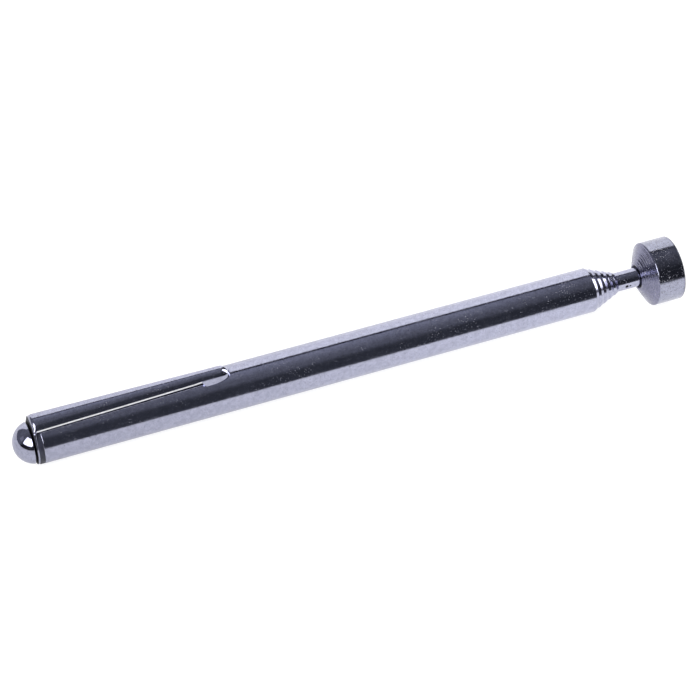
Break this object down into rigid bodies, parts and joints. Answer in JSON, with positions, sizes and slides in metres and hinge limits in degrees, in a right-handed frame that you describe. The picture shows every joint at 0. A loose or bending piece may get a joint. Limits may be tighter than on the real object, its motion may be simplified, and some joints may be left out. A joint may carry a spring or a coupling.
{
  "type": "telescopic magnetic pick-up tool",
  "caption": "Pen-sized telescopic pick-up tool: chromed barrel with pocket clip and domed cap, nested sliding sections and a round pot magnet on the end of the rod.",
  "frame": {"origin": "centre of the magnet's working face with the tool closed", "axes": "+X along the tool, out of the magnet's working face; +Z through the crown of the pocket clip; +Y completes the right-handed set"},
  "size_m": [0.1215, 0.0114, 0.0115],
  "materials": {
    "chromed_tube": "bright chrome plate on thin drawn tube, with faint draw lines",
    "chromed_rod": "bright chrome plate",
    "chromed_cap": "bright chrome plate, polished dome",
    "chromed_cup": "bright chrome plate over a turned cup, fine turning rings on its back",
    "chromed_spring_steel": "bright chrome plate on stamped spring steel",
    "bright_steel": "turned bright steel",
    "slate_nylon": "turned slate-grey nylon",
    "sprung_brass": "rolled phosphor bronze strip",
    "spacer_brass": "turned brass",
    "magnet": "ground dark magnet alloy"
  },
  "bodies": {
    "barrel": {"barrel_tube": "chromed_tube", "end_bush": "slate_nylon", "end_cap": "chromed_cap", "clip_ring": "chromed_spring_steel"},
    "clip": {"clip_arm": "chromed_spring_steel"},
    "shells_2": {"shell_2_upper": "sprung_brass", "shell_2_lower": "sprung_brass"},
    "section_2": {"section_2_tube": "chromed_tube"},
    "shells_3": {"shell_3_upper": "sprung_brass", "shell_3_lower": "sprung_brass"},
    "section_3": {"section_3_tube": "chromed_tube"},
    "shells_4": {"shell_4_upper": "sprung_brass", "shell_4_lower": "sprung_brass"},
    "section_4": {"section_4_tube": "chromed_tube"},
    "shells_5": {"shell_5_upper": "sprung_brass", "shell_5_lower": "sprung_brass"},
    "section_5": {"section_5_tube": "chromed_tube"},
    "shells_6": {"shell_6_upper": "sprung_brass", "shell_6_lower": "sprung_brass"},
    "rod_and_magnet": {"magnet_rod": "chromed_rod", "rod_stud": "bright_steel", "magnet_cup": "chromed_cup", "spacer_ring": "spacer_brass", "magnet_disc": "magnet"}
  },
  "joints": [
    {"name": "clip_bend", "type": "hinge", "parent": "barrel", "child": "clip", "pos_m": [-0.11784, 0, 0.00585], "axis": [0, -1, 0], "range_deg": [0, 4], "stiffness_Nm_per_rad": 3},
    {"name": "slide_2", "type": "slide", "parent": "barrel", "child": "shells_2", "axis": [1, 0, 0], "range_m": [0, 0.09135]},
    {"name": "spin_2", "type": "hinge", "parent": "shells_2", "child": "section_2", "pos_m": [-0.005, 0, 0], "axis": [1, 0, 0], "continuous": true},
    {"name": "slide_3", "type": "slide", "parent": "section_2", "child": "shells_3", "axis": [1, 0, 0], "range_m": [0, 0.09135]},
    {"name": "spin_3", "type": "hinge", "parent": "shells_3", "child": "section_3", "pos_m": [-0.005, 0, 0], "axis": [1, 0, 0], "continuous": true},
    {"name": "slide_4", "type": "slide", "parent": "section_3", "child": "shells_4", "axis": [1, 0, 0], "range_m": [0, 0.09135]},
    {"name": "spin_4", "type": "hinge", "parent": "shells_4", "child": "section_4", "pos_m": [-0.005, 0, 0], "axis": [1, 0, 0], "continuous": true},
    {"name": "slide_5", "type": "slide", "parent": "section_4", "child": "shells_5", "axis": [1, 0, 0], "range_m": [0, 0.09135]},
    {"name": "spin_5", "type": "hinge", "parent": "shells_5", "child": "section_5", "pos_m": [-0.005, 0, 0], "axis": [1, 0, 0], "continuous": true},
    {"name": "slide_6", "type": "slide", "parent": "section_5", "child": "shells_6", "axis": [1, 0, 0], "range_m": [0, 0.09135]},
    {"name": "spin_6", "type": "hinge", "parent": "shells_6", "child": "rod_and_magnet", "pos_m": [-0.005, 0, 0], "axis": [1, 0, 0], "continuous": true}
  ]
}
